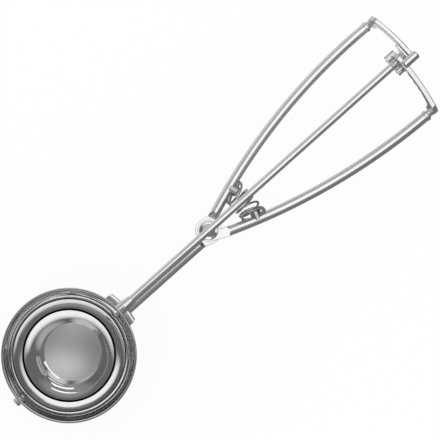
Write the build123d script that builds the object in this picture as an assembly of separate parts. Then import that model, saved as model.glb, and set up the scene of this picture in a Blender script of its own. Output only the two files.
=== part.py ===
from build123d import *
import math
import os

# Lever ice cream scoop. All sizes are in millimetres.
# The origin is the centre of the bowl's sphere, on the axis that the scraper turns about.
# X runs along the shaft to the far end of the grips, Z out of the bowl's mouth, and Y
# towards the fixed grip. The moving grip is on the -Y side.

# Bowl
bowl_inner_radius = 27.4
bowl_wall = 1.0
rim_height = 3.2
rim_rounding = 0.3

# Scraper blade
blade_gap = 0.25
blade_thickness = 0.7
blade_width = 8.0
blade_taper_start = 18.0
blade_eye_radius = 2.4
blade_rest_angle = 10.5

# Scraper shaft and its bearings
shaft_radius = 1.6
spigot_width = 1.9
peened_head_radius = 1.55
peened_head_height = 0.7
blade_washer_radius = 2.1
blade_washer_thickness = 0.4
bowl_bush_radius = 2.5
bowl_bush_reach = 2.6
bush_taper = 4.2
bush_end_wall = 0.25
end_bush_radius = 2.3
end_bush_reach = 0.4
end_bush_chamfer = 0.15
shaft_overhang = 0.9
shaft_chamfer = 0.4
running_clearance = 0.05
side_clearance = 0.3

# Far pin of the blade
pin_radius = 1.0
pin_shoulder_radius = 1.35
pin_shoulder_length = 0.45
pin_head_radius = 1.85
pin_head_height = 1.35
pin_inner_head_height = 0.8
pin_end_play = 0.1
pin_head_rounding = 0.4

# Bracket behind the bowl
bracket_thickness = 1.0
bracket_reach = 3.8
bracket_half_width = 7.8
bracket_depth = 11.5
bracket_foot_inset = 3.8
bracket_bend = 1.05
bracket_corner = 4.0
bush_saddle_depth = 0.3

# Handle rods
neck_length = 50.1
neck_offset = 2.06
neck_forging_length = 1.4
rod_radius = 2.1
flat_width = 4.4
flat_corner = 0.5
fixed_bow_radius = 265.0
fixed_spread = 19.8
fixed_tang_angle = 28.0
fixed_eye_radius = 5.8
fixed_forging_length = 2.7
moving_bow_radius = 280.0
moving_spread = 25.2
moving_tang_angle = 41.0
moving_tang_length = 2.6
moving_eye_radius = 4.75
moving_forging_length = 1.0
tang_clearance = 0.6
tang_gap = 0.1
tang_strip_width = 0.02

# Pivot rivet
rivet_radius = 2.0
rivet_head_radius = 2.75
rivet_head_height = 1.3
rivet_tail_radius = 3.4
rivet_tail_height = 1.5
pivot_washer_radius = 4.1
pivot_washer_thickness = 0.6
pivot_washer_chamfer = 0.2
head_rounding_share = 0.8

# Spring between the grips
spring_wire_radius = 0.45
spring_outer_radius = 5.3
spring_turns = 6
closed_turn_spacing = 1.1
spring_points_per_turn = 12
spring_station = 19.4
spring_to_shaft_gap = 0.6
spring_seating = 0.12
seat_radius = 2.3
seat_length = 2.0
seat_chamfer = 0.5

# Rack, pinion and the arms at the far end
gear_module = 1.04
pinion_teeth = 8
flank_steps = 4
pressure_angle = 25.0
pinion_addendum_share = 0.9
rack_addendum_share = 0.7
root_clearance = 0.25
tooth_backlash = 0.16
rack_inner_radius = 105.9
rack_thickness = 2.2
rack_height = 6.0
rack_gaps = 7
pinion_overlap = 2.7
arm_spacing = 2.5
arm_thickness = 2.0
arm_edge_rounding = 0.45
arm_end_margin = 1.5
arm_foot_width = 4.6
arm_foot_margin = 0.4
arm_foot_curve = 5.0
arm_top_corner = 3.5
arm_foot_corner = 2.0
ferrule_ring_length = 1.3
ferrule_ring_margin = 0.25
ferrule_ring_rounding = 0.325
ferrule_neck_radius = 1.7
ferrule_neck_length = 1.0
plate_thickness = 0.9
plate_leaf_length = 5.8
plate_leaf_inset = 1.0
plate_tab_margin = 1.2
guide_radius = 1.85
guide_offset = 2.85
guide_clearance = 0.3
guide_seat_depth = 0.9
guide_overlap = 1.7
guide_overhang = 1.0
guide_end_rounding = 0.7

# Worked-out places
bowl_outer_radius = bowl_inner_radius + bowl_wall
bracket_foot_radius = bowl_outer_radius - bracket_foot_inset
blade_outer_radius = bowl_inner_radius - blade_gap
blade_inner_radius = blade_outer_radius - blade_thickness
pivot_x = bowl_outer_radius + neck_length
rod_level = -(shaft_radius + spring_to_shaft_gap + spring_outer_radius)
tang_thickness = rod_radius - tang_gap / 2
pitch_radius = gear_module * pinion_teeth / 2
tooth_pitch = math.pi * gear_module
pinion_tip_radius = pitch_radius + pinion_addendum_share * gear_module
rack_tip_level = pitch_radius - rack_addendum_share * gear_module
pinion_root_radius = rack_tip_level - root_clearance
rack_root_level = pinion_tip_radius + root_clearance
rack_top_level = rack_tip_level + rack_height
rack_outer_radius = rack_inner_radius + rack_thickness
mesh_radius = rack_inner_radius + rack_thickness / 2
rack_step_angle = math.degrees(tooth_pitch / mesh_radius)
arm_inner_radius = rack_outer_radius + arm_spacing
arm_outer_radius = arm_inner_radius + arm_thickness
ferrule_length = ferrule_ring_length + ferrule_neck_length
guide_level = rack_top_level + guide_clearance + guide_radius
arm_top_level = guide_level - guide_radius + guide_seat_depth
plate_inner_radius = arm_inner_radius - plate_thickness
end_bush_start = rack_outer_radius + side_clearance
end_bush_end = arm_inner_radius + end_bush_reach
# Longer than any piece, for cutting tools.
plenty = 240.0


def about_x(profile):
    """Turn a profile, drawn with X along the shaft and Y as the radius, about the shaft's axis."""
    return revolve(profile, Axis.X, 360)


def step_profile(points):
    return make_face(Polyline(*points, close=True))


def rod_along_x(radius, start, length, y=0.0, z=0.0):
    return Plane(origin=(start, y, z), x_dir=(0, 1, 0), z_dir=(1, 0, 0)) * extrude(Circle(radius), length)


def pivot_cylinder(radius, bottom, top):
    return Pos(pivot_x, 0, bottom) * extrude(Circle(radius), top - bottom)


def curved_plate(outline, inner_radius, outer_radius):
    """A plate on edge, bent about the pivot. The outline is drawn along Y and Z."""
    block = Pos(pivot_x, 0, 0) * (Plane.YZ * extrude(outline, plenty))
    bend = pivot_cylinder(outer_radius, -plenty, plenty) - pivot_cylinder(inner_radius, -plenty, plenty)
    return block & bend


# Bowl group


def make_bowl():
    outside = CenterArc((0, 0), bowl_outer_radius, -90, 90)
    inside = CenterArc((0, 0), bowl_inner_radius, -90, 90)
    wall = Polyline(
        (bowl_outer_radius, 0),
        (bowl_outer_radius, rim_height),
        (bowl_inner_radius, rim_height),
        (bowl_inner_radius, 0),
    )
    bottom = Line((0, -bowl_inner_radius), (0, -bowl_outer_radius))
    shell = revolve(Plane.XZ * make_face([outside, wall, inside, bottom]), Axis.Z, 360)
    rim = shell.edges().group_by(Axis.Z)[-1]
    shell = fillet(rim, rim_rounding)
    bush_hole = rod_along_x(bowl_bush_radius, 0, plenty)
    pin_hole = rod_along_x(pin_radius, -plenty, plenty)
    return shell - bush_hole - pin_hole


def make_bowl_bush():
    bore = shaft_radius + running_clearance
    end = bowl_outer_radius + bowl_bush_reach + bush_taper
    points = [
        (bowl_inner_radius, bore),
        (bowl_inner_radius, bowl_bush_radius),
        (end - bush_taper, bowl_bush_radius),
        (end, bore + bush_end_wall),
        (end, bore),
    ]
    return about_x(step_profile(points))


def make_bowl_bracket():
    top = -bowl_bush_radius + bush_saddle_depth
    reach = bowl_outer_radius + bracket_reach
    points = [
        (bracket_foot_radius / 2, top),
        (reach, top),
        (bracket_foot_radius, top - bracket_depth),
        (bracket_foot_radius / 2, top - bracket_depth),
    ]
    outer = step_profile(points)
    bend = outer.vertices().sort_by(Axis.X)[-1]
    outer = fillet(bend, bracket_bend)
    inner = offset(outer, -bracket_thickness)
    strip = revolve(Plane.XZ * (outer - inner), Axis.Z, 360) - Sphere(bowl_outer_radius)
    width = 2 * bracket_half_width
    plan = Pos(reach / 2, 0) * Rectangle(reach, width)
    plan = fillet(plan.vertices().group_by(Axis.X)[-1], bracket_corner)
    strip = strip & extrude(plan, plenty, both=True)
    bush = rod_along_x(bowl_bush_radius, 0, plenty)
    neck = rod_along_x(rod_radius, 0, plenty, -neck_offset, rod_level)
    return strip - bush - neck


def make_bowl_pin():
    shoulder = bowl_outer_radius + pin_shoulder_length
    head = shoulder + pin_head_height
    inner_head = blade_inner_radius - pin_end_play
    tail = inner_head - pin_inner_head_height
    points = [
        (-head, 0),
        (-head, pin_head_radius),
        (-shoulder, pin_head_radius),
        (-shoulder, pin_shoulder_radius),
        (-bowl_outer_radius, pin_shoulder_radius),
        (-bowl_outer_radius, pin_radius),
        (-inner_head, pin_radius),
        (-inner_head, pin_shoulder_radius),
        (-tail, pin_shoulder_radius),
        (-tail, 0),
    ]
    pin = about_x(step_profile(points))
    end_rims = [pin.edges().group_by(Axis.X)[0], pin.edges().group_by(Axis.X)[-1]]
    return fillet(end_rims[0] + end_rims[1], pin_head_rounding)


# Scraper group


def make_scraper_blade():
    half = blade_width / 2
    shell = Sphere(blade_outer_radius) - Sphere(blade_inner_radius)
    points = [
        (-blade_outer_radius, -blade_eye_radius),
        (-blade_taper_start, -half),
        (blade_taper_start, -half),
        (blade_outer_radius, -blade_eye_radius),
        (blade_outer_radius, blade_eye_radius),
        (blade_taper_start, half),
        (-blade_taper_start, half),
        (-blade_outer_radius, blade_eye_radius),
    ]
    strip = extrude(Plane.XZ * step_profile(points), -plenty)
    blade = shell & strip
    blade -= rod_along_x(blade_eye_radius, -blade_inner_radius, 2 * blade_inner_radius)
    for start in (-blade_outer_radius, blade_inner_radius):
        blade += rod_along_x(blade_eye_radius, start, blade_thickness)
    spigot = Pos(blade_outer_radius, 0, 0) * Box(blade_outer_radius, spigot_width, spigot_width)
    pin_hole = rod_along_x(pin_radius + running_clearance, -plenty, plenty)
    return Rot(-blade_rest_angle, 0, 0) * (blade - spigot - pin_hole)


def make_blade_washer():
    ring = Circle(blade_washer_radius) - Rectangle(spigot_width, spigot_width)
    start = blade_inner_radius - blade_washer_thickness
    washer = Pos(start, 0, 0) * (Plane.YZ * extrude(ring, blade_washer_thickness))
    return Rot(-blade_rest_angle, 0, 0) * washer


def make_scraper_shaft():
    end = pivot_x + end_bush_end + shaft_overhang
    body = rod_along_x(shaft_radius, blade_outer_radius, end - blade_outer_radius)
    body = chamfer(body.edges().group_by(Axis.X)[-1], shaft_chamfer)
    peened = blade_inner_radius - blade_washer_thickness
    spigot = Plane.YZ * extrude(Rectangle(spigot_width, spigot_width), blade_outer_radius - peened)
    head = rod_along_x(peened_head_radius, peened - peened_head_height, peened_head_height)
    head = fillet(head.edges().group_by(Axis.X)[0], peened_head_height * head_rounding_share)
    return body + Rot(-blade_rest_angle, 0, 0) * (Pos(peened, 0, 0) * spigot) + head


def involute(angle):
    return math.tan(angle) - angle


def flank_point(radius, side):
    """A point on the pinion tooth that stands along Y of the sketch, on its left or right flank."""
    base_radius = pitch_radius * math.cos(math.radians(pressure_angle))
    half_angle = math.pi / (2 * pinion_teeth) - tooth_backlash / (4 * pitch_radius)
    opening = math.acos(min(1.0, base_radius / radius))
    half_angle += involute(math.radians(pressure_angle)) - involute(opening)
    return (side * radius * math.sin(half_angle), radius * math.cos(half_angle))


def make_tooth():
    base_radius = pitch_radius * math.cos(math.radians(pressure_angle))
    rise = pinion_tip_radius - base_radius
    radii = [base_radius + rise * step / flank_steps for step in range(flank_steps + 1)]
    left = [flank_point(radius, -1) for radius in radii]
    right = [flank_point(radius, 1) for radius in radii]
    root_share = pinion_root_radius / (2 * base_radius)
    left_root = (left[0][0] * root_share, left[0][1] * root_share)
    right_root = (right[0][0] * root_share, right[0][1] * root_share)
    edges = [
        Line(left_root, left[0]),
        Spline(*left),
        ThreePointArc(left[-1], (0, pinion_tip_radius), right[-1]),
        Spline(*right),
        Line(right[0], right_root),
        Line(right_root, left_root),
    ]
    return make_face(edges)


def make_pinion():
    tooth = make_tooth()
    wheel = Circle(pinion_root_radius)
    for number in range(pinion_teeth):
        wheel += Rot(0, 0, 360 * number / pinion_teeth) * tooth
    start = pivot_x + rack_inner_radius - pinion_overlap
    width = rack_thickness + pinion_overlap
    teeth = Pos(start, 0, 0) * (Plane.YZ * extrude(wheel, width))
    return teeth - rod_along_x(shaft_radius, 0, plenty)


# Rods of the handles


def polar_point(distance, turn):
    """A point at a distance from the pivot, in plan. The turn is from the shaft's direction."""
    angle = math.radians(turn)
    return (pivot_x + distance * math.cos(angle), distance * math.sin(angle))


def unit(turn):
    return (math.cos(math.radians(turn)), math.sin(math.radians(turn)))


def grip_ends(side, tang_angle, tang_reach, spread, arm_radius):
    """Start and end of a grip's round rod, which stops one ferrule short of the arm it carries."""
    end_x = pivot_x + math.sqrt(arm_radius**2 - spread**2) - ferrule_length
    return polar_point(tang_reach, side * tang_angle), (end_x, side * spread)


def grip_heading(side, ends, radius):
    """Direction in which a grip's rod starts, in degrees from the shaft's direction."""
    (start_x, start_y), (end_x, end_y) = ends
    chord = math.hypot(end_x - start_x, end_y - start_y)
    chord_turn = math.degrees(math.atan2(end_y - start_y, end_x - start_x))
    return chord_turn + side * math.degrees(math.asin(chord / (2 * radius)))


def bow_height(side, ends, radius, x):
    """Y of a grip's centre line at a given X."""
    (start_x, start_y), (end_x, end_y) = ends
    chord = math.hypot(end_x - start_x, end_y - start_y)
    drop = math.sqrt(radius**2 - chord**2 / 4) / chord
    centre_x = (start_x + end_x) / 2 + side * drop * (end_y - start_y)
    centre_y = (start_y + end_y) / 2 - side * drop * (end_x - start_x)
    return centre_y + side * math.sqrt(radius**2 - (x - centre_x) ** 2)


# The upper halves of the fixed tang's ends clear the moving eye, and the lower half of the
# moving tang's end clears the fixed eye.
neck_tang_reach = moving_eye_radius + tang_clearance + neck_forging_length
fixed_tang_reach = moving_eye_radius + tang_clearance + fixed_forging_length
moving_tang_reach = fixed_eye_radius + moving_tang_length + moving_forging_length
fixed_ends = grip_ends(1, fixed_tang_angle, fixed_tang_reach, fixed_spread, arm_inner_radius)
moving_ends = grip_ends(-1, moving_tang_angle, moving_tang_reach, moving_spread, rack_inner_radius)
fixed_heading = grip_heading(1, fixed_ends, fixed_bow_radius)
moving_heading = grip_heading(-1, moving_ends, moving_bow_radius)


def make_grip(side, ends, radius, heading):
    """The round rod from the end of its forging to the end of the grip."""
    along = unit(heading)
    start = Plane(origin=(*ends[0], rod_level), z_dir=(*along, 0))
    with BuildLine(Plane.XY.offset(rod_level)) as route:
        RadiusArc(ends[0], ends[1], side * radius)
    return sweep(start * Circle(rod_radius), path=route.wires()[0])


def flat_point(rod_end, heading, length):
    """Where a forging gets flat, its length back from the end of the round rod."""
    along = unit(heading)
    return (rod_end[0] - along[0] * length, rod_end[1] - along[1] * length)


def make_forging(rod_end, heading, length, level):
    """The rod's change from flat to round. The heading goes from the flat into the rod, and the
    level is the middle of the flat part."""
    along = unit(heading)
    across = (-along[1], along[0], 0)
    flat_end = flat_point(rod_end, heading, length)
    start = Plane(origin=(*flat_end, level), x_dir=across, z_dir=(*along, 0))
    end = Plane(origin=(*rod_end, rod_level), x_dir=across, z_dir=(*along, 0))
    flat = start * RectangleRounded(flat_width, tang_thickness, flat_corner)
    return loft([flat, end * Circle(rod_radius)])


def edge_strip(point, turn):
    """A thin strip across a tang's end, which its outline is drawn around."""
    return Pos(point[0], point[1]) * Rot(0, 0, turn) * Rectangle(tang_strip_width, flat_width)


def make_tang(eye_radius, level, ends):
    """A flat plate around the pivot's eye and the given end strips."""
    eye = Pos(pivot_x, 0) * Circle(eye_radius)
    edges = eye.edges()
    for strip in ends:
        edges += strip.edges()
    return Pos(0, 0, level - tang_thickness / 2) * extrude(make_hull(edges), tang_thickness)


def make_fixed_handle():
    level = rod_level - tang_gap / 2 - tang_thickness / 2
    neck_end = (pivot_x - neck_tang_reach, -neck_offset)
    grip_flat = flat_point(fixed_ends[0], fixed_heading, fixed_forging_length)
    neck_flat = flat_point(neck_end, 180, neck_forging_length)
    strips = [edge_strip(grip_flat, fixed_heading), edge_strip(neck_flat, 0)]
    handle = make_tang(fixed_eye_radius, level, strips)
    handle += make_forging(fixed_ends[0], fixed_heading, fixed_forging_length, level)
    handle += make_grip(1, fixed_ends, fixed_bow_radius, fixed_heading)
    handle += make_forging(neck_end, 180, neck_forging_length, level)
    neck = rod_along_x(rod_radius, 0, neck_end[0], -neck_offset, rod_level)
    handle += neck - Sphere(bowl_outer_radius)
    return handle - pivot_cylinder(rivet_radius, -plenty, plenty)


def make_moving_handle():
    level = rod_level + tang_gap / 2 + tang_thickness / 2
    grip_flat = flat_point(moving_ends[0], moving_heading, moving_forging_length)
    handle = make_tang(moving_eye_radius, level, [edge_strip(grip_flat, moving_heading)])
    # The tang's inner edge is in line with the rod's, and the eye stands out from it.
    beside_rod = Pos(0, (flat_width + plenty) / 2, 0) * Box(plenty, plenty, plenty)
    handle -= Pos(*grip_flat, level) * Rot(0, 0, moving_heading) * beside_rod
    handle += pivot_cylinder(moving_eye_radius, level - tang_thickness / 2, level + tang_thickness / 2)
    handle += make_forging(moving_ends[0], moving_heading, moving_forging_length, level)
    handle += make_grip(-1, moving_ends, moving_bow_radius, moving_heading)
    return handle - pivot_cylinder(rivet_radius + running_clearance, -plenty, plenty)


# Pivot


def make_pivot_washer():
    bottom = rod_level + rod_radius + running_clearance
    ring = pivot_cylinder(pivot_washer_radius, bottom, bottom + pivot_washer_thickness)
    ring = chamfer(ring.edges().group_by(Axis.Z)[-1], pivot_washer_chamfer)
    return ring - pivot_cylinder(rivet_radius, -plenty, plenty)


def make_pivot_rivet():
    head_bottom = rod_level + rod_radius + running_clearance + pivot_washer_thickness
    tail_top = rod_level - rod_radius
    shank = pivot_cylinder(rivet_radius, tail_top, head_bottom)
    head = pivot_cylinder(rivet_head_radius, head_bottom, head_bottom + rivet_head_height)
    head = fillet(head.edges().group_by(Axis.Z)[-1], rivet_head_height * head_rounding_share)
    tail = pivot_cylinder(rivet_tail_radius, tail_top - rivet_tail_height, tail_top)
    tail = fillet(tail.edges().group_by(Axis.Z)[0], rivet_tail_height * head_rounding_share)
    return shank + head + tail


# Spring and its seats

spring_x = pivot_x + spring_station
slope_step = 0.01


def seat_line(side, ends, radius):
    """Y and slope, at the spring's station, of the line along a grip's inner side."""
    y = bow_height(side, ends, radius, spring_x)
    rise = bow_height(side, ends, radius, spring_x + slope_step) - y
    slope = rise / slope_step
    offset_y = rod_radius * math.hypot(1, slope)
    return (y - side * offset_y, slope)


fixed_seat_line = seat_line(1, fixed_ends, fixed_bow_radius)
moving_seat_line = seat_line(-1, moving_ends, moving_bow_radius)


def make_spring_seat(side, line, handle):
    """A stud on the grip's inner side, inside the spring's end turns."""
    outward = (-side * line[1], side, 0)
    place = Plane(origin=(spring_x, line[0], rod_level), x_dir=(0, 0, 1), z_dir=outward)
    stud = Pos(0, 0, -seat_length) * extrude(Circle(seat_radius), seat_length + rod_radius)
    stud = chamfer(stud.edges().group_by(Axis.Z)[0], seat_chamfer)
    return place * stud - handle


def spring_share(turns):
    """Share of the spring's height reached after a number of turns, with both end turns closed."""
    closed = closed_turn_spacing * 2 * spring_wire_radius / (fixed_seat_line[0] - moving_seat_line[0])
    active = (1 - 2 * closed) / (spring_turns - 2)
    if turns < 1:
        return closed * turns
    if turns > spring_turns - 1:
        return 1 - closed * (spring_turns - turns)
    return closed + active * (turns - 1)


def make_handle_spring():
    """A coil whose end turns lie along both grips, so that its turns open away from the pivot."""
    mean_radius = spring_outer_radius - spring_wire_radius
    seating = spring_wire_radius + spring_seating
    points = []
    for step in range(spring_turns * spring_points_per_turn + 1):
        turns = step / spring_points_per_turn
        angle = 2 * math.pi * turns
        along = mean_radius * math.cos(angle)
        low = moving_seat_line[0] + moving_seat_line[1] * along + seating
        high = fixed_seat_line[0] + fixed_seat_line[1] * along - seating
        y = low + (high - low) * spring_share(turns)
        points.append((spring_x + along, y, rod_level + mean_radius * math.sin(angle)))
    route = Spline(*points)
    section = Plane(origin=route @ 0, z_dir=route % 0) * Circle(spring_wire_radius)
    return sweep(section, path=route, is_frenet=True)


# Arms, rack and bearings at the far end


def arm_outline(end, tip, bottom, top):
    """Side view of an arm: a bar on edge whose foot comes down to the end of its grip."""
    side = math.copysign(1, end)
    foot_end = end + side * arm_end_margin
    foot_side = foot_end - side * arm_foot_width
    foot_bottom = rod_level - rod_radius - arm_foot_margin
    points = [(tip, top), (foot_end, top), (foot_end, foot_bottom), (foot_side, foot_bottom)]
    points += [(foot_side, bottom), (tip, bottom)]
    outline = step_profile(points)

    def corner(y, z):
        return outline.vertices().sort_by_distance((y, z, 0))[0]

    outline = fillet(corner(foot_end, top), arm_top_corner)
    outline = fillet([corner(foot_end, foot_bottom), corner(foot_side, foot_bottom)], arm_foot_corner)
    outline = fillet(corner(foot_side, bottom), arm_foot_curve)
    return fillet(corner(tip, top), arm_foot_corner)


def soften(plate):
    """Round every edge of a curved plate a little."""
    return fillet(plate.edges(), arm_edge_rounding)


def make_rack_gap():
    """The space between two rack teeth, drawn along Y and Z."""
    slope = math.tan(math.radians(pressure_angle))
    half_gap = tooth_pitch / 4 + tooth_backlash / 4
    below = rack_tip_level - gear_module
    mouth = half_gap + slope * (pitch_radius - below)
    root = half_gap - slope * (rack_root_level - pitch_radius)
    points = [(-mouth, below), (-root, rack_root_level), (root, rack_root_level), (mouth, below)]
    return step_profile(points)


def make_rack():
    tip = tooth_pitch * 3 / 4
    outline = arm_outline(moving_ends[1][1], tip, rack_tip_level, rack_top_level)
    rack = soften(curved_plate(outline, rack_inner_radius, rack_outer_radius))
    gap = Plane.YZ * extrude(make_rack_gap(), 2 * arm_outer_radius)
    for number in range(rack_gaps):
        turn = rack_step_angle * (1 - number)
        rack -= Pos(pivot_x, 0, 0) * (Rot(0, 0, turn) * gap)
    return rack


def make_fixed_arm():
    tip = -guide_offset - guide_radius
    outline = arm_outline(fixed_ends[1][1], tip, rack_tip_level, arm_top_level)
    arm = soften(curved_plate(outline, arm_inner_radius, arm_outer_radius))
    return arm - rod_along_x(guide_radius, 0, plenty, -guide_offset, guide_level)


def make_rack_guide():
    start = pivot_x + rack_outer_radius - guide_overlap
    length = pivot_x + arm_outer_radius + guide_overhang - start
    stub = rod_along_x(guide_radius, start, length, -guide_offset, guide_level)
    ends = stub.edges().group_by(Axis.X)[0] + stub.edges().group_by(Axis.X)[-1]
    return fillet(ends, guide_end_rounding)


def make_shaft_plate():
    tab_radius = end_bush_radius + plate_tab_margin
    top = rack_top_level - plate_leaf_inset
    leaf_bottom = rack_tip_level
    leaf = Pos((plate_leaf_length - tab_radius) / 2, (top + leaf_bottom) / 2)
    leaf *= Rectangle(plate_leaf_length + tab_radius, top - leaf_bottom)
    leaf = fillet(leaf.vertices(), plate_leaf_inset)
    tab = Pos(0, top / 2) * Rectangle(2 * tab_radius, top - 2 * plate_leaf_inset) + Circle(tab_radius)
    outline = leaf + tab
    plate = curved_plate(outline, plate_inner_radius, arm_inner_radius)
    return plate - rod_along_x(end_bush_radius, 0, plenty)


def make_end_bush():
    bore = shaft_radius + running_clearance
    start = pivot_x + end_bush_start
    length = end_bush_end - end_bush_start
    bush = rod_along_x(end_bush_radius, start, length) - rod_along_x(bore, 0, plenty)
    return chamfer(bush.edges().group_by(Axis.X)[0], end_bush_chamfer)


def make_ferrule(end, arm_radius, handle):
    """A ring that caps the grip's end, and a neck from it to the arm."""
    ring_radius = rod_radius + ferrule_ring_margin
    length = ferrule_ring_length + ferrule_ring_margin
    ring = rod_along_x(ring_radius, end[0] - ferrule_ring_margin, length, end[1], rod_level)
    ring = fillet(ring.edges(), ferrule_ring_rounding)
    neck = rod_along_x(ferrule_neck_radius, end[0], 2 * ferrule_length, end[1], rod_level)
    return ring + (neck & pivot_cylinder(arm_radius, -plenty, plenty)) - handle


fixed_handle = make_fixed_handle()
moving_handle = make_moving_handle()

pieces = {
    "bowl": make_bowl(),
    "bowl_bracket": make_bowl_bracket(),
    "bowl_bush": make_bowl_bush(),
    "bowl_pin": make_bowl_pin(),
    "scraper_blade": make_scraper_blade(),
    "blade_washer": make_blade_washer(),
    "scraper_shaft": make_scraper_shaft(),
    "pinion": make_pinion(),
    "fixed_handle": fixed_handle,
    "moving_handle": moving_handle,
    "pivot_rivet": make_pivot_rivet(),
    "pivot_washer": make_pivot_washer(),
    "fixed_spring_seat": make_spring_seat(1, fixed_seat_line, fixed_handle),
    "moving_spring_seat": make_spring_seat(-1, moving_seat_line, moving_handle),
    "handle_spring": make_handle_spring(),
    "fixed_ferrule": make_ferrule(fixed_ends[1], arm_inner_radius, fixed_handle),
    "moving_ferrule": make_ferrule(moving_ends[1], rack_inner_radius, moving_handle),
    "fixed_arm": make_fixed_arm(),
    "rack": make_rack(),
    "rack_guide": make_rack_guide(),
    "shaft_plate": make_shaft_plate(),
    "end_bush": make_end_bush(),
}

os.makedirs("parts", exist_ok=True)
for name, piece in pieces.items():
    export_step(piece, f"parts/{name}.step")
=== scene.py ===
import math

import bpy
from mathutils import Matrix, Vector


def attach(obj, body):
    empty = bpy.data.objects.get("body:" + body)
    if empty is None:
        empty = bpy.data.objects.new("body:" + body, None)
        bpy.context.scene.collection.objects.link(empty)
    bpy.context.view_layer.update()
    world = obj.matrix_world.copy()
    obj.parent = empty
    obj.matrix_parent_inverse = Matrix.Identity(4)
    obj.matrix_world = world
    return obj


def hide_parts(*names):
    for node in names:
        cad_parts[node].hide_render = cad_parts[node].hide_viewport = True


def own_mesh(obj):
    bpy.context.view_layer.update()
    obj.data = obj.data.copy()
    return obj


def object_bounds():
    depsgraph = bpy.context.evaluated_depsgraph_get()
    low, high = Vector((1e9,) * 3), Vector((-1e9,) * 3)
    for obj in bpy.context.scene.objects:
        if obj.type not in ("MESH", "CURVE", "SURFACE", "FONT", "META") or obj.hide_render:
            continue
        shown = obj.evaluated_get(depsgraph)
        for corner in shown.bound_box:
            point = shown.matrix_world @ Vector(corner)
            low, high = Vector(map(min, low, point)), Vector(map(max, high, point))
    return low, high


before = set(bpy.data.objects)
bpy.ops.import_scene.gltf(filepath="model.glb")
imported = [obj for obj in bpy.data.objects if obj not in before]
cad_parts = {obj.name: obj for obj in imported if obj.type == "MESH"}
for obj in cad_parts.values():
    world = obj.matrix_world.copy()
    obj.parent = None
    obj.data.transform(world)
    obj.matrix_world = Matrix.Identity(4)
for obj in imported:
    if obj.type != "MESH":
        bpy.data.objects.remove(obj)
cad_low, cad_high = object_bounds()

MM = 0.001


# ---------------------------------------------------------------- node helpers


def new_tree(name):
    material = bpy.data.materials.new(name)
    material.use_nodes = True
    tree = material.node_tree
    tree.nodes.clear()
    return material, tree


def add(tree, kind, inputs=None, **settings):
    """Add a node, set its properties by name and its input values or links by socket name."""
    node = tree.nodes.new(kind)
    for key, value in settings.items():
        setattr(node, key, value)
    for key, value in (inputs or {}).items():
        socket = node.inputs[key]
        if isinstance(value, bpy.types.NodeSocket):
            tree.links.new(value, socket)
        else:
            socket.default_value = value
    return node


def math_node(tree, operation, first, second=0.0, clamp=False):
    return add(tree, "ShaderNodeMath", {0: first, 1: second},
               operation=operation, use_clamp=clamp).outputs[0]


def span(tree, value, start, end, low, high, ease="LINEAR"):
    """Carry a value from one range to another."""
    return add(tree, "ShaderNodeMapRange",
               {"Value": value, "From Min": start, "From Max": end, "To Min": low, "To Max": high},
               interpolation_type=ease).outputs[0]


def from_upright(tree, place, centre=0.0):
    """Distance from an upright line through a point on the X axis, given in millimetres."""
    moved = add(tree, "ShaderNodeVectorMath", {0: place, 1: (centre * MM, 0, 0)},
                operation="SUBTRACT").outputs[0]
    apart = add(tree, "ShaderNodeSeparateXYZ", {0: moved}).outputs
    flat = add(tree, "ShaderNodeCombineXYZ", {0: apart["X"], 1: apart["Y"]}).outputs[0]
    return add(tree, "ShaderNodeVectorMath", {0: flat}, operation="LENGTH").outputs["Value"]


# ---------------------------------------------------------------- finishes

# Input and output places of the colour mix in a Mix node.
FIRST_COLOUR, SECOND_COLOUR, MIXED_COLOUR = 6, 7, 2


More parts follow.
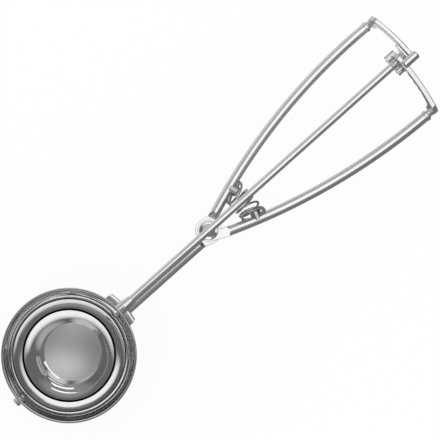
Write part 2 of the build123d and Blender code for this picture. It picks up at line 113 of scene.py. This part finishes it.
def polished_steel(name, tint, roughness, line_scale=(1, 1, 1), wear=0.5, rounding=0.0, worn_disc=None,
                   domed=None):
    """Mirror-polished stainless steel with polishing lines, handling smears and small pits.
    worn_disc is the radius, tint and roughness of a satin spot round the Z axis, as a scoop's bowl has.
    rounding is the width, in millimetres, over which edges are softened. domed is the place along X
    and the slope of a shallow turned cone, as a riveted joint has, on a finish with rounded edges."""
    material, tree = new_tree(name)
    place = add(tree, "ShaderNodeTexCoord").outputs["Object"]
    lines_place = add(tree, "ShaderNodeMapping", {"Vector": place, "Scale": line_scale}).outputs[0]
    lines = add(tree, "ShaderNodeTexNoise",
                {"Vector": lines_place, "Scale": 1400.0, "Detail": 4.0, "Roughness": 0.6}).outputs["Fac"]
    smears = add(tree, "ShaderNodeTexNoise",
                 {"Vector": place, "Scale": 85.0, "Detail": 5.0, "Distortion": 0.6}).outputs["Fac"]
    pits = add(tree, "ShaderNodeTexVoronoi", {"Vector": place, "Scale": 900.0}).outputs["Distance"]
    smear_share = span(tree, smears, 0.42, 0.72, 0.0, 1.0, "SMOOTHSTEP")
    smeared = span(tree, smear_share, 0.0, 1.0, roughness, roughness + 0.05 * wear)
    lined = span(tree, lines, 0.3, 0.75, -0.015 * wear, 0.04 * wear)
    rough = math_node(tree, "ADD", smeared, lined, clamp=True)
    dull = tuple(0.95 * c for c in tint)
    colour = add(tree, "ShaderNodeMix", {"Factor": smear_share}, data_type="RGBA")
    colour.inputs[FIRST_COLOUR].default_value = (*tint, 1)
    colour.inputs[SECOND_COLOUR].default_value = (*dull, 1)
    colour = colour.outputs[MIXED_COLOUR]
    if worn_disc:
        radius, worn_tint, worn_rough = worn_disc
        disc = span(tree, from_upright(tree, place), (radius - 0.5) * MM, (radius + 0.1) * MM, 1.0, 0.0,
                    "SMOOTHSTEP")
        facing = add(tree, "ShaderNodeLayerWeight", {"Blend": 0.5}).outputs["Facing"]
        disc = math_node(tree, "MULTIPLY", disc, span(tree, facing, 0.15, 0.32, 1.0, 0.0, "SMOOTHSTEP"))
        worn = add(tree, "ShaderNodeMix", {"Factor": disc}, data_type="RGBA")
        tree.links.new(colour, worn.inputs[FIRST_COLOUR])
        worn.inputs[SECOND_COLOUR].default_value = (*worn_tint, 1)
        colour = worn.outputs[MIXED_COLOUR]
        rough = math_node(tree, "ADD", rough, math_node(tree, "MULTIPLY", disc, worn_rough), clamp=True)
    line_bump = add(tree, "ShaderNodeBump", {"Height": lines, "Strength": 0.03 * wear, "Distance": 0.00003})
    if rounding:
        surface = add(tree, "ShaderNodeBevel", {"Radius": rounding * MM}, samples=6).outputs[0]
        if domed:
            centre, slope = domed
            surface = add(tree, "ShaderNodeBump",
                          {"Height": from_upright(tree, place, centre), "Strength": 1.0, "Distance": slope,
                           "Normal": surface}, invert=True).outputs["Normal"]
        tree.links.new(surface, line_bump.inputs["Normal"])
    bump = add(tree, "ShaderNodeBump",
               {"Height": span(tree, pits, 0.0, 0.25, 0.0, 1.0), "Strength": 0.04 * wear,
                "Distance": 0.00001, "Normal": line_bump.outputs[0]}).outputs["Normal"]
    shader = add(tree, "ShaderNodeBsdfPrincipled",
                 {"Base Color": colour, "Metallic": 1.0, "Roughness": rough, "Normal": bump})
    add(tree, "ShaderNodeOutputMaterial", {"Surface": shader.outputs[0]})
    return material


bowl_steel = polished_steel("bowl_steel", (0.86, 0.86, 0.862), 0.015, wear=0.08,
                            worn_disc=(12.6, (0.82, 0.82, 0.822), 0.50))
rod_steel = polished_steel("rod_steel", (0.86, 0.86, 0.862), 0.05, line_scale=(0.06, 1, 1))
forged_steel = polished_steel("forged_steel", (0.86, 0.86, 0.862), 0.05, line_scale=(0.06, 1, 1),
                              rounding=0.5)
plate_steel = polished_steel("plate_steel", (0.84, 0.84, 0.842), 0.06, rounding=0.4)
pivot_steel = polished_steel("pivot_steel", (0.82, 0.82, 0.822), 0.06, rounding=0.4, domed=(78.5, 0.3))
working_steel = polished_steel("working_steel", (0.80, 0.80, 0.802), 0.07, rounding=0.25)
blade_steel = polished_steel("blade_steel", (0.78, 0.78, 0.782), 0.06)
spring_steel = polished_steel("spring_steel", (0.52, 0.52, 0.525), 0.08)

finish_of = {
    "bowl": bowl_steel,
    "bowl_bracket": plate_steel,
    "bowl_bush": working_steel,
    "bowl_pin": working_steel,
    "scraper_blade": blade_steel,
    "blade_washer": blade_steel,
    "scraper_shaft": rod_steel,
    "pinion": working_steel,
    "fixed_handle": forged_steel,
    "moving_handle": forged_steel,
    "pivot_rivet": pivot_steel,
    "pivot_washer": pivot_steel,
    "fixed_spring_seat": spring_steel,
    "moving_spring_seat": spring_steel,
    "handle_spring": spring_steel,
    "fixed_ferrule": rod_steel,
    "moving_ferrule": rod_steel,
    "fixed_arm": plate_steel,
    "rack": working_steel,
    "rack_guide": plate_steel,
    "shaft_plate": plate_steel,
    "end_bush": working_steel,
}

for node_name, finish in finish_of.items():
    node_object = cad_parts[node_name]
    node_object.data.materials.clear()
    node_object.data.materials.append(finish)


# ---------------------------------------------------------------- spring

# Sizes in millimetres. Each line is the face of a grip where the coil ends: its place along Y at
# the middle of the coil, and its slope. closed_turn is the share of the length in each end turn.
spring_x = 97.2
spring_level = -7.5
spring_turns = 6.0
spring_mean_radius = 4.85
spring_wire_radius = 0.5
spring_sag = 1.5
closed_turn = 0.052
end_gap = 0.57
moving_line = (-8.188, -0.3372)
fixed_line = (5.523, 0.3115)
points_per_turn = 40
wire_sides = 16


def make_spring():
    """The coil between the grips. Its end turns lie along both grips, so its turns fan out, and it
    sags a little at its middle, so that each turn leans and shows as an open loop from above."""
    tree = bpy.data.node_groups.new("coil", "GeometryNodeTree")
    sizes = {"Turns": spring_turns, "Mean Radius": spring_mean_radius * MM,
             "Wire Radius": spring_wire_radius * MM, "Sag": spring_sag * MM, "End Gap": end_gap * MM,
             "Closed Turn": closed_turn}
    sockets = {}
    for name, value in sizes.items():
        socket = tree.interface.new_socket(name, in_out="INPUT", socket_type="NodeSocketFloat")
        socket.default_value = value
        sockets[name] = socket.identifier
    tree.interface.new_socket("Geometry", in_out="OUTPUT", socket_type="NodeSocketGeometry")
    given = add(tree, "NodeGroupInput").outputs

    def maths(operation, first, second=0.0):
        return math_node(tree, operation, first, second)

    def between(value, most):
        return maths("MINIMUM", maths("MAXIMUM", value, 0.0), most)

    share = add(tree, "GeometryNodeSplineParameter").outputs["Factor"]
    turns = maths("MULTIPLY", share, given["Turns"])
    open_turns = maths("SUBTRACT", given["Turns"], 2.0)
    rate = maths("DIVIDE", maths("SUBTRACT", 1.0, maths("MULTIPLY", given["Closed Turn"], 2.0)), open_turns)
    last_turn = between(maths("SUBTRACT", turns, maths("ADD", open_turns, 1.0)), 1.0)
    closed = maths("ADD", between(turns, 1.0), last_turn)
    middle = between(maths("SUBTRACT", turns, 1.0), open_turns)
    rise = maths("ADD", maths("MULTIPLY", closed, given["Closed Turn"]), maths("MULTIPLY", middle, rate))
    angle = maths("MULTIPLY", turns, 2 * math.pi)
    along = maths("MULTIPLY", maths("COSINE", angle), given["Mean Radius"])
    up = maths("MULTIPLY", maths("SINE", angle), given["Mean Radius"])
    low = maths("ADD", maths("MULTIPLY", along, moving_line[1]),
                maths("ADD", given["End Gap"], moving_line[0] * MM))
    high = maths("SUBTRACT", maths("ADD", maths("MULTIPLY", along, fixed_line[1]), fixed_line[0] * MM),
                 given["End Gap"])
    across = maths("ADD", low, maths("MULTIPLY", maths("SUBTRACT", high, low), rise))
    length = (fixed_line[0] - moving_line[0]) * MM
    lean = maths("MULTIPLY", maths("MULTIPLY", given["Sag"], math.pi / length),
                 maths("COSINE", maths("MULTIPLY", rise, math.pi)))
    across = maths("ADD", across, maths("MULTIPLY", up, lean))
    sag = maths("MULTIPLY", given["Sag"], maths("SINE", maths("MULTIPLY", rise, math.pi)))
    height = maths("ADD", maths("SUBTRACT", up, sag), spring_level * MM)
    place = add(tree, "ShaderNodeCombineXYZ",
                {0: maths("ADD", along, spring_x * MM), 1: across, 2: height}).outputs[0]
    line = add(tree, "GeometryNodeCurvePrimitiveLine").outputs["Curve"]
    fine = add(tree, "GeometryNodeResampleCurve",
               {"Curve": line, "Count": int(spring_turns * points_per_turn)}).outputs["Curve"]
    coil = add(tree, "GeometryNodeSetPosition", {"Geometry": fine, "Position": place}).outputs["Geometry"]
    wire = add(tree, "GeometryNodeCurvePrimitiveCircle",
               {"Resolution": wire_sides, "Radius": given["Wire Radius"]}).outputs["Curve"]
    swept = add(tree, "GeometryNodeCurveToMesh",
                {"Curve": coil, "Profile Curve": wire, "Fill Caps": True}).outputs["Mesh"]
    smooth = add(tree, "GeometryNodeSetShadeSmooth", {"Geometry": swept}).outputs["Geometry"]
    real = add(tree, "GeometryNodeRealizeInstances", {"Geometry": smooth}).outputs["Geometry"]
    done = add(tree, "GeometryNodeSetMaterial",
               {"Geometry": real, "Material": spring_steel}).outputs["Geometry"]
    add(tree, "NodeGroupOutput", {"Geometry": done})

    holder = bpy.data.objects.new("coil_maker", bpy.data.meshes.new("coil_maker"))
    bpy.context.scene.collection.objects.link(holder)
    modifier = holder.modifiers.new("coil", "NODES")
    modifier.node_group = tree
    for name, value in sizes.items():
        modifier[sockets[name]] = value
    evaluated = holder.evaluated_get(bpy.context.evaluated_depsgraph_get())
    mesh = bpy.data.meshes.new_from_object(evaluated)
    holder.modifiers.remove(modifier)
    bpy.data.objects.remove(holder)
    spring = bpy.data.objects.new("coil_spring", mesh)
    bpy.context.scene.collection.objects.link(spring)
    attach(spring, "frame")
    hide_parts("handle_spring")
    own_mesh(spring)


make_spring()


# ---------------------------------------------------------------- studio


floor_gap = 0.5 * MM
card_lift = 0.1 * MM


def stage_plane(name, corners, material):
    mesh = bpy.data.meshes.new(name)
    mesh.from_pydata(corners, [], [tuple(range(len(corners)))])
    mesh.materials.append(material)
    plane = bpy.data.objects.new(name, mesh)
    bpy.context.scene.collection.objects.link(plane)
    return plane


def floor_white():
    """White for the eye, for steel and for glass. Its own light is the rest, which keeps the shadow."""
    material, tree = new_tree("floor_white")
    path = add(tree, "ShaderNodeLightPath").outputs
    mirrored = math_node(tree, "MAXIMUM", path["Is Glossy Ray"], path["Is Transmission Ray"])
    seen = math_node(tree, "MULTIPLY", path["Is Camera Ray"], 0.9)
    share = math_node(tree, "MAXIMUM", seen, mirrored)
    plain = add(tree, "ShaderNodeBsdfDiffuse", {"Color": (0.97, 0.97, 0.97, 1)}).outputs[0]
    white = add(tree, "ShaderNodeEmission", {"Color": (1, 1, 1, 1), "Strength": 1.0}).outputs[0]
    mixed = add(tree, "ShaderNodeMixShader", {0: share, 1: plain, 2: white})
    add(tree, "ShaderNodeOutputMaterial", {"Surface": mixed.outputs[0]})
    return material


def make_floor():
    side = 6.0
    level = cad_low.z - floor_gap
    stage_plane("floor", [(-side, -side, level), (side, -side, level), (side, side, level),
                          (-side, side, level)], floor_white())


def card_material(name, brightness, see_through=False):
    """A glowing card. A see-through card is gone for a reflection of a reflection, as in the bowl."""
    material, tree = new_tree(name)
    surface = add(tree, "ShaderNodeEmission", {"Color": (1, 1, 1, 1), "Strength": brightness}).outputs[0]
    if see_through:
        depth = add(tree, "ShaderNodeLightPath").outputs["Ray Depth"]
        clear = add(tree, "ShaderNodeBsdfTransparent").outputs[0]
        surface = add(tree, "ShaderNodeMixShader",
                      {0: math_node(tree, "GREATER_THAN", depth, 1.5), 1: surface, 2: clear}).outputs[0]
    add(tree, "ShaderNodeOutputMaterial", {"Surface": surface})
    return material


def steel_only(card):
    """Only the steel sees this card: it throws no shadow, and neither the eye nor the floor sees it."""
    card.visible_camera = False
    card.visible_shadow = False
    card.visible_diffuse = False


def make_cards():
    """Cards round the scoop that give its steel dark and grey edges against the white. The dark card beside
    the scoop and the dark and grey sheets lying under it are painted shade: dim glowing cards, seen only in
    the steel, that stand in for the floor and surroundings in the scoop's shade. The softbox overhead is a
    lamp.
    """
    # Dim glowing cards for painted shade, seen only by the steel.
    black = card_material("painted_shade_card_black", 0.19)
    grey = card_material("painted_shade_card_grey", 0.62)
    lie = cad_low.z - floor_gap + card_lift
    side, top = -60 * MM, 40 * MM
    # Dark card beside the scoop: painted shade that the steel reflects on this side.
    steel_only(stage_plane("painted_shade_side_card", [(-0.20, side, lie), (0.40, side, lie), (0.40, side, top),
                                         (-0.20, side, top)], black))
    # Dark and grey sheets under the scoop: painted shadow of the floor, as the steel reflects it.
    steel_only(stage_plane("painted_floor_shadow_dark", [(-0.12, side, lie), (0.32, side, lie), (0.32, -6 * MM, lie),
                                          (-0.12, -6 * MM, lie)], black))
    steel_only(stage_plane("painted_floor_shadow_grey", [(-0.12, -6 * MM, lie), (0.32, -6 * MM, lie), (0.32, 0.16, lie),
                                          (-0.12, 0.16, lie)], grey))
    high = 0.20
    outline = ((0.019, -0.008), (0.060, -0.045), (0.085, -0.115),
               (0.26, -0.115), (0.26, 0.10), (0.019, 0.10))
    steel_only(stage_plane("handle_softbox", [(x, y, high) for x, y in outline],
                           card_material("softbox", 1.08, see_through=True)))


def lobe(tree, direction, azimuth, off_zenith, start, end):
    """1 near a direction of the sky and 0 away from it. The direction is given by its angle round Z
    from +X and its angle from straight up, and start and end are angles from it, all in degrees."""
    a, z = math.radians(azimuth), math.radians(off_zenith)
    toward = (math.cos(a) * math.sin(z), math.sin(a) * math.sin(z), math.cos(z))
    dot = add(tree, "ShaderNodeVectorMath", {0: direction, 1: toward},
              operation="DOT_PRODUCT").outputs["Value"]
    return span(tree, dot, math.cos(math.radians(end)), math.cos(math.radians(start)), 0.0, 1.0,
                "SMOOTHSTEP")


# The tent's softboxes: angle round Z, angle from straight up, full within, gone by, brightness.
softboxes = [
    (90, 78, 22, 52, 0.5),
    (18, 55, 8, 26, 0.66),
    (228, 42, 10, 46, 0.36),
]

# Its strip lights: angle round Z, angle from straight up, half height, half length, brightness.
strips = [
    (224, 35.5, 3.0, 15, 1.6),
    (218, 51, 4.0, 20, 1.6),
    (200, 62, 3.0, 20, 1.0),
    (156, 57, 4.5, 18, 0.5),
]


tent_grey = 0.17
dome_turn = 46
dome_brightness = 1.2


def make_tent():
    """What the steel sees: a bright half dome over one side and small softboxes in a grey tent. A
    reflection of a reflection also sees a dark opening overhead. All else sees plain white."""
    world = bpy.data.worlds.new("tent")
    bpy.context.scene.world = world
    world.use_nodes = True
    tree = world.node_tree
    tree.nodes.clear()
    direction = add(tree, "ShaderNodeTexCoord").outputs["Generated"]
    path = add(tree, "ShaderNodeLightPath").outputs
    turn = math.radians(dome_turn)
    across = add(tree, "ShaderNodeVectorMath", {0: direction, 1: (math.cos(turn), math.sin(turn), 0.0)},
                 operation="DOT_PRODUCT").outputs["Value"]
    half = span(tree, across, -0.01, 0.15, 0.0, 1.0, "SMOOTHSTEP")
    dome = math_node(tree, "MULTIPLY", lobe(tree, direction, 50, 17, 4, 34), dome_brightness)
    light = math_node(tree, "MAXIMUM", tent_grey, math_node(tree, "MULTIPLY", half, dome))
    for azimuth, off_zenith, start, end, brightness in softboxes:
        share = lobe(tree, direction, azimuth, off_zenith, start, end)
        light = math_node(tree, "MAXIMUM", light, math_node(tree, "MULTIPLY", share, brightness))
    height = add(tree, "ShaderNodeSeparateXYZ", {0: direction}).outputs["Z"]
    for azimuth, off_zenith, half_height, half_length, brightness in strips:
        middle, edge = (math.cos(math.radians(off_zenith + a)) for a in (0, half_height))
        above = math_node(tree, "ABSOLUTE", math_node(tree, "SUBTRACT", height, middle))
        level_share = span(tree, above, 0.6 * (middle - edge), middle - edge, 1.0, 0.0)
        share = math_node(tree, "MULTIPLY", level_share,
                          lobe(tree, direction, azimuth, off_zenith, 0.7 * half_length, half_length))
        light = math_node(tree, "MAXIMUM", light, math_node(tree, "MULTIPLY", share, brightness))
    opening = lobe(tree, direction, 0, 5.1, 4.5, 6.0)
    deep = math_node(tree, "GREATER_THAN", path["Ray Depth"], 2.5)
    opened = math_node(tree, "MULTIPLY", opening, deep)
    light = math_node(tree, "MULTIPLY", light, math_node(tree, "SUBTRACT", 1.0, opened))
    steel_light = add(tree, "ShaderNodeBackground", {"Color": light, "Strength": 1.0}).outputs[0]
    plain_light = add(tree, "ShaderNodeBackground", {"Color": (1, 1, 1, 1), "Strength": 1.0}).outputs[0]
    mixed = add(tree, "ShaderNodeMixShader", {0: path["Is Glossy Ray"], 1: plain_light, 2: steel_light})
    add(tree, "ShaderNodeOutputWorld", {"Surface": mixed.outputs[0]})


def make_camera():
    data = bpy.data.cameras.new("camera")
    camera = bpy.data.objects.new("camera", data)
    bpy.context.scene.collection.objects.link(camera)
    camera.location = (0.08505, 0.00013, 0.950)
    camera.rotation_euler = (0, 0, math.radians(-41.8))
    data.sensor_width = 36
    data.lens = 185.07
    data.clip_start = 0.01
    data.clip_end = 20
    bpy.context.scene.camera = camera


make_floor()
make_cards()
make_tent()
make_camera()
bpy.context.scene.view_settings.view_transform = "Standard"
bpy.context.scene.cycles.max_bounces = 16
bpy.context.scene.cycles.glossy_bounces = 14
